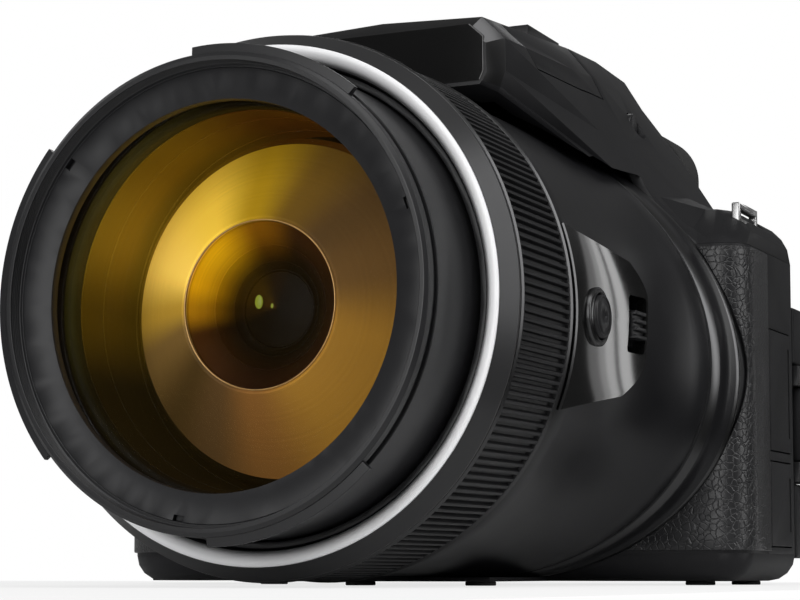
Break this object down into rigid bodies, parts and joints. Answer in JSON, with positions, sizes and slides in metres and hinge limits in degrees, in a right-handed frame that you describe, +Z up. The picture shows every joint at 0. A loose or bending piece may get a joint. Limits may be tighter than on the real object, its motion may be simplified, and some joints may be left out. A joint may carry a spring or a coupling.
{
  "type": "bridge camera",
  "caption": "Black bridge camera with a very long zoom lens, an amber-coated front element, a ribbed control ring, a viewfinder hump with pop-up flash and a swing-out screen",
  "frame": {"origin": "on the table, 0.8 mm under the mouth of the tripod socket and below the lens axis", "axes": "+Z up; the lens looks along -Y; +X is the screen hinge side, the grip is on -X"},
  "size_m": [0.1467, 0.1808, 0.1187],
  "materials": {
    "body_plastic": "fine textured black",
    "leather_skin": "black moulded leather grain",
    "gloss_panel": "polished black",
    "black_metal": "satin black",
    "satin_ring": "satin dark grey",
    "bright_metal": "polished",
    "ribbed_rubber": "matte black",
    "gold_cone": "brushed gold",
    "coated_glass": "amber coated",
    "flash_lens": "clear ribbed",
    "control_plastic": "satin black",
    "electronics": "plain",
    "screw_steel": "blackened"
  },
  "bodies": {
    "camera_body": {"base_feet": "ribbed_rubber", "battery": "electronics", "bottom_cover": "body_plastic", "case_screws": "screw_steel", "chrome_ring": "bright_metal", "eyecup": "ribbed_rubber", "eyepiece_housing": "body_plastic", "eyepiece_lens": "coated_glass", "fixed_barrel": "black_metal", "front_bezel": "body_plastic", "front_cover": "body_plastic", "grip_rubber": "leather_skin", "guide_rods": "bright_metal", "hot_shoe": "bright_metal", "hump_panel": "gloss_panel", "image_sensor": "electronics", "lens_rear_plate": "black_metal", "lens_shroud": "body_plastic", "main_board": "electronics", "rear_cover": "body_plastic", "rear_lens_cell": "black_metal", "screen_bracket": "black_metal", "side_leather": "leather_skin", "strap_lugs": "bright_metal", "top_cover": "body_plastic", "trim_ring": "satin_ring", "tripod_socket": "bright_metal", "zoom_motor": "electronics", "zoom_panel": "gloss_panel"},
    "middle_stage": {"middle_barrel": "black_metal"},
    "front_stage": {"front_barrel": "black_metal", "name_ring": "black_metal", "front_lens": "coated_glass", "light_baffle": "black_metal"},
    "variator": {"variator_cell": "gold_cone", "variator_lens": "coated_glass"},
    "focus_ring": {"control_ring": "ribbed_rubber"},
    "side_zoom": {"side_zoom_slider": "control_plastic"},
    "snap_back": {"snap_back_button": "control_plastic"},
    "flash": {"flash_head": "body_plastic", "flash_window": "flash_lens"},
    "flash_release": {"flash_button": "control_plastic"},
    "diopter": {"diopter_dial": "control_plastic"},
    "mode": {"mode_dial": "control_plastic"},
    "command": {"command_dial": "control_plastic"},
    "lever": {"zoom_lever": "control_plastic"},
    "shutter": {"shutter_button": "control_plastic"},
    "power": {"power_button": "control_plastic"},
    "battery_hatch": {"battery_door": "body_plastic"},
    "screen": {"screen_arm": "body_plastic", "screen_panel": "body_plastic", "screen_glass": "coated_glass"},
    "connector_hatch": {"connector_door": "body_plastic"},
    "power_hatch": {"power_door": "body_plastic"},
    "selector": {"selector_dial": "control_plastic"},
    "ok": {"ok_button": "control_plastic"},
    "movie": {"movie_button": "control_plastic"},
    "playback": {"playback_button": "control_plastic"},
    "menu": {"menu_button": "control_plastic"},
    "delete": {"delete_button": "control_plastic"}
  },
  "joints": [
    {"name": "zoom_middle", "type": "slide", "parent": "camera_body", "child": "middle_stage", "axis": [0, -1, 0], "range_m": [0, 0.058]},
    {"name": "zoom_front", "type": "slide", "parent": "middle_stage", "child": "front_stage", "axis": [0, -1, 0], "range_m": [0, 0.058]},
    {"name": "variator_slide", "type": "slide", "parent": "camera_body", "child": "variator", "axis": [0, -1, 0], "range_m": [0, 0.0241]},
    {"name": "focus_turn", "type": "hinge", "parent": "camera_body", "child": "focus_ring", "pos_m": [0, -0.09, 0.0482], "axis": [0, -1, 0], "continuous": true},
    {"name": "side_zoom_slide", "type": "slide", "parent": "camera_body", "child": "side_zoom", "axis": [0, 0, 1], "range_m": [-0.0024, 0.0024], "stiffness_N_per_m": 120},
    {"name": "snap_back_press", "type": "slide", "parent": "camera_body", "child": "snap_back", "axis": [-1, 0, 0], "range_m": [0, 0.0006], "stiffness_N_per_m": 120},
    {"name": "flash_lift", "type": "hinge", "parent": "camera_body", "child": "flash", "pos_m": [0, -0.017, 0.1104], "axis": [-1, 0, 0], "range_deg": [0, 62]},
    {"name": "flash_release_press", "type": "slide", "parent": "camera_body", "child": "flash_release", "axis": [-1, 0, 0], "range_m": [0, 0.0006], "stiffness_N_per_m": 120},
    {"name": "diopter_turn", "type": "hinge", "parent": "camera_body", "child": "diopter", "pos_m": [0.0215, 0.033, 0.092], "axis": [1, 0, 0], "range_deg": [-150, 150]},
    {"name": "mode_turn", "type": "hinge", "parent": "camera_body", "child": "mode", "pos_m": [-0.058, 0.009, 0.08], "axis": [0, 0, 1], "continuous": true},
    {"name": "command_turn", "type": "hinge", "parent": "camera_body", "child": "command", "pos_m": [-0.064, 0.0184, 0.0724], "axis": [0, 0, 1], "continuous": true},
    {"name": "lever_turn", "type": "hinge", "parent": "camera_body", "child": "lever", "pos_m": [-0.068, -0.011, 0.0785], "axis": [0, 0, 1], "range_deg": [-25, 25], "stiffness_Nm_per_rad": 0.02},
    {"name": "shutter_press", "type": "slide", "parent": "camera_body", "child": "shutter", "axis": [0, 0, -1], "range_m": [0, 0.0012], "stiffness_N_per_m": 120},
    {"name": "power_press", "type": "slide", "parent": "camera_body", "child": "power", "axis": [0, 0, -1], "range_m": [0, 0.0006], "stiffness_N_per_m": 120},
    {"name": "battery_door_swing", "type": "hinge", "parent": "camera_body", "child": "battery_hatch", "pos_m": [-0.0563, 0.003, 0.0018], "axis": [0, -1, 0], "range_deg": [0, 90]},
    {"name": "screen_swing", "type": "hinge", "parent": "camera_body", "child": "screen", "pos_m": [0.0575, 0.0314, 0.034], "axis": [0, 0, -1], "range_deg": [0, 175]},
    {"name": "connector_door_swing", "type": "hinge", "parent": "camera_body", "child": "connector_hatch", "pos_m": [0.05875, 0.0022, 0.039], "axis": [0, 0, -1], "range_deg": [0, 100]},
    {"name": "power_door_swing", "type": "hinge", "parent": "camera_body", "child": "power_hatch", "pos_m": [0.05875, 0.0022, 0.0165], "axis": [0, 0, -1], "range_deg": [0, 100]},
    {"name": "selector_turn", "type": "hinge", "parent": "camera_body", "child": "selector", "pos_m": [-0.046, 0.0255, 0.041], "axis": [0, 1, 0], "continuous": true},
    {"name": "ok_press", "type": "slide", "parent": "camera_body", "child": "ok", "axis": [0, -1, 0], "range_m": [0, 0.0006], "stiffness_N_per_m": 120},
    {"name": "movie_press", "type": "slide", "parent": "camera_body", "child": "movie", "axis": [0, -1, 0], "range_m": [0, 0.0006], "stiffness_N_per_m": 120},
    {"name": "playback_press", "type": "slide", "parent": "camera_body", "child": "playback", "axis": [0, -1, 0], "range_m": [0, 0.0006], "stiffness_N_per_m": 120},
    {"name": "menu_press", "type": "slide", "parent": "camera_body", "child": "menu", "axis": [0, -1, 0], "range_m": [0, 0.0006], "stiffness_N_per_m": 120},
    {"name": "delete_press", "type": "slide", "parent": "camera_body", "child": "delete", "axis": [0, -1, 0], "range_m": [0, 0.0006], "stiffness_N_per_m": 120}
  ],
  "couplings": [
    {"joint": "zoom_front", "follows": "zoom_middle", "ratio": 1},
    {"joint": "variator_slide", "follows": "zoom_middle", "ratio": 0.4137}
  ]
}
